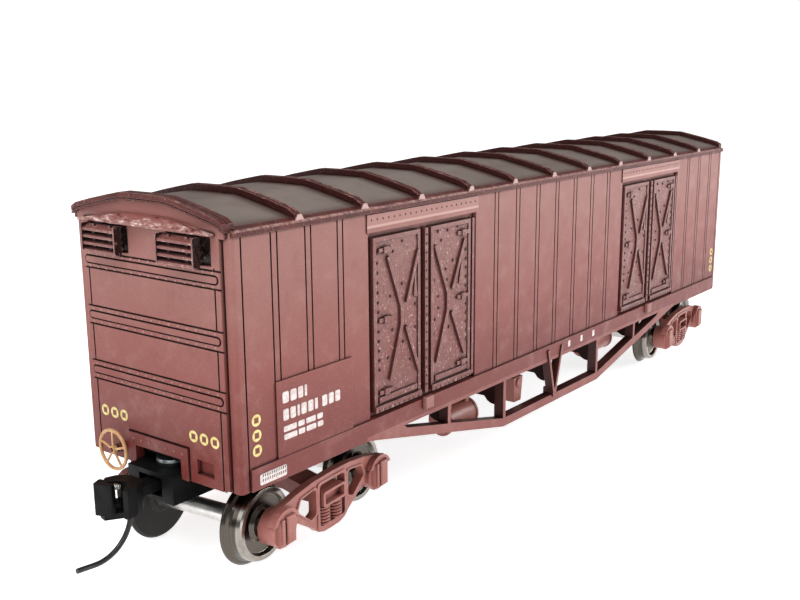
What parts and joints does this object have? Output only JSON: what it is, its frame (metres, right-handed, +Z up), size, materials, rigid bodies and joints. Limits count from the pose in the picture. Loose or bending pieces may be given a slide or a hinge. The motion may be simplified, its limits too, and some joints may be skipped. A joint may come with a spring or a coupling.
{
  "type": "model box car",
  "caption": "Bogie box car for a model railway, with side trusses, double doors, ribbed roof, swivelling bogies and knuckle couplers.",
  "frame": {"origin": "under the middle of the wagon, in the plane that the wheel flanges stand on", "axes": "+X along the length away from the handwheel end, +Y across towards the right side, +Z up"},
  "size_m": [0.1684, 0.0296, 0.0457],
  "materials": {
    "body_paint": "satin maroon brown paint over moulded plastic",
    "roof_paint": "flat grey beige panels between maroon brown ribs",
    "frame_paint": "satin maroon brown paint",
    "floor_plastic": "dark brown floor, in shadow",
    "ballast_steel": "plain steel plate",
    "handwheel_brass": "pale brass",
    "screw_steel": "bright steel",
    "bogie_paint": "satin maroon brown paint over plastic",
    "bogie_plastic": "dark moulded plastic",
    "cup_brass": "turned brass",
    "coupler_plastic": "black",
    "trip_wire": "blackened wire",
    "spring_bronze": "phosphor bronze",
    "axle_steel": "bright turned steel",
    "wheel_metal": "blackened, with polished tread",
    "bush_plastic": "black plastic"
  },
  "bodies": {
    "wagon": {"air_reservoir": "frame_paint", "ballast_weight": "ballast_steel", "body_shell": "body_paint", "bogie_screws": "screw_steel", "brake_cylinder": "frame_paint", "centre_sill": "floor_plastic", "control_valve": "frame_paint", "coupler_box_front": "coupler_plastic", "coupler_box_lid_front": "coupler_plastic", "coupler_box_lid_rear": "coupler_plastic", "coupler_box_rear": "coupler_plastic", "coupler_screws": "screw_steel", "coupler_washers": "screw_steel", "cross_bearers": "frame_paint", "door_keepers": "body_paint", "door_left_front": "body_paint", "door_left_rear": "body_paint", "door_right_front": "body_paint", "door_right_rear": "body_paint", "end_vents_front": "body_paint", "end_vents_rear": "body_paint", "floor": "floor_plastic", "handwheel": "handwheel_brass", "handwheel_spindle": "handwheel_brass", "roof": "roof_paint", "truss_left": "frame_paint", "truss_right": "frame_paint"},
    "bogie_front": {"bogie_front_bearing_cups": "cup_brass", "bogie_front_bolster": "bogie_plastic", "bogie_front_frame_left": "bogie_paint", "bogie_front_frame_right": "bogie_paint"},
    "bogie_rear": {"bogie_rear_bearing_cups": "cup_brass", "bogie_rear_bolster": "bogie_plastic", "bogie_rear_frame_left": "bogie_paint", "bogie_rear_frame_right": "bogie_paint"},
    "wheelset_1": {"axle_1": "axle_steel", "insulating_bush_1": "bush_plastic", "wheel_1_left": "wheel_metal", "wheel_1_right": "wheel_metal"},
    "wheelset_2": {"axle_2": "axle_steel", "insulating_bush_2": "bush_plastic", "wheel_2_left": "wheel_metal", "wheel_2_right": "wheel_metal"},
    "wheelset_3": {"axle_3": "axle_steel", "insulating_bush_3": "bush_plastic", "wheel_3_left": "wheel_metal", "wheel_3_right": "wheel_metal"},
    "wheelset_4": {"axle_4": "axle_steel", "insulating_bush_4": "bush_plastic", "wheel_4_left": "wheel_metal", "wheel_4_right": "wheel_metal"},
    "coupler_front": {"centring_spring_front": "spring_bronze", "coupler_head_front": "coupler_plastic"},
    "coupler_rear": {"centring_spring_rear": "spring_bronze", "coupler_head_rear": "coupler_plastic"},
    "knuckle_front": {"knuckle_front": "coupler_plastic", "trip_pin_front": "trip_wire"},
    "knuckle_rear": {"knuckle_rear": "coupler_plastic", "trip_pin_rear": "trip_wire"}
  },
  "joints": [
    {"name": "bogie_front_swivel", "type": "hinge", "parent": "wagon", "child": "bogie_front", "pos_m": [-0.0558, 0, 0.00995], "axis": [0, 0, 1], "range_deg": [-16.2, 3.8]},
    {"name": "bogie_rear_swivel", "type": "hinge", "parent": "wagon", "child": "bogie_rear", "pos_m": [0.0558, 0, 0.00995], "axis": [0, 0, 1], "range_deg": [-16.2, 3.8]},
    {"name": "wheelset_1_spin", "type": "hinge", "parent": "bogie_front", "child": "wheelset_1", "pos_m": [-0.06609, -0.00112, 0.00554], "axis": [-0.108, 0.9942, 0], "continuous": true},
    {"name": "wheelset_2_spin", "type": "hinge", "parent": "bogie_front", "child": "wheelset_2", "pos_m": [-0.04551, 0.00112, 0.00554], "axis": [-0.108, 0.9942, 0], "continuous": true},
    {"name": "wheelset_3_spin", "type": "hinge", "parent": "bogie_rear", "child": "wheelset_3", "pos_m": [0.04551, -0.00112, 0.00554], "axis": [-0.108, 0.9942, 0], "continuous": true},
    {"name": "wheelset_4_spin", "type": "hinge", "parent": "bogie_rear", "child": "wheelset_4", "pos_m": [0.06609, 0.00112, 0.00554], "axis": [-0.108, 0.9942, 0], "continuous": true},
    {"name": "coupler_front_swing", "type": "hinge", "parent": "wagon", "child": "coupler_front", "pos_m": [-0.0697, 0, 0.0107], "axis": [0, 0, 1], "range_deg": [-8, 8], "stiffness_Nm_per_rad": 0.0005},
    {"name": "knuckle_front_open", "type": "hinge", "parent": "coupler_front", "child": "knuckle_front", "pos_m": [-0.0776, 0.0019, 0.0107], "axis": [0, 0, 1], "range_deg": [-30, 0], "stiffness_Nm_per_rad": 0.00002},
    {"name": "coupler_rear_swing", "type": "hinge", "parent": "wagon", "child": "coupler_rear", "pos_m": [0.0697, 0, 0.0107], "axis": [0, 0, 1], "range_deg": [-8, 8], "stiffness_Nm_per_rad": 0.0005},
    {"name": "knuckle_rear_open", "type": "hinge", "parent": "coupler_rear", "child": "knuckle_rear", "pos_m": [0.0776, -0.0019, 0.0107], "axis": [0, 0, 1], "range_deg": [-30, 0], "stiffness_Nm_per_rad": 0.00002}
  ]
}
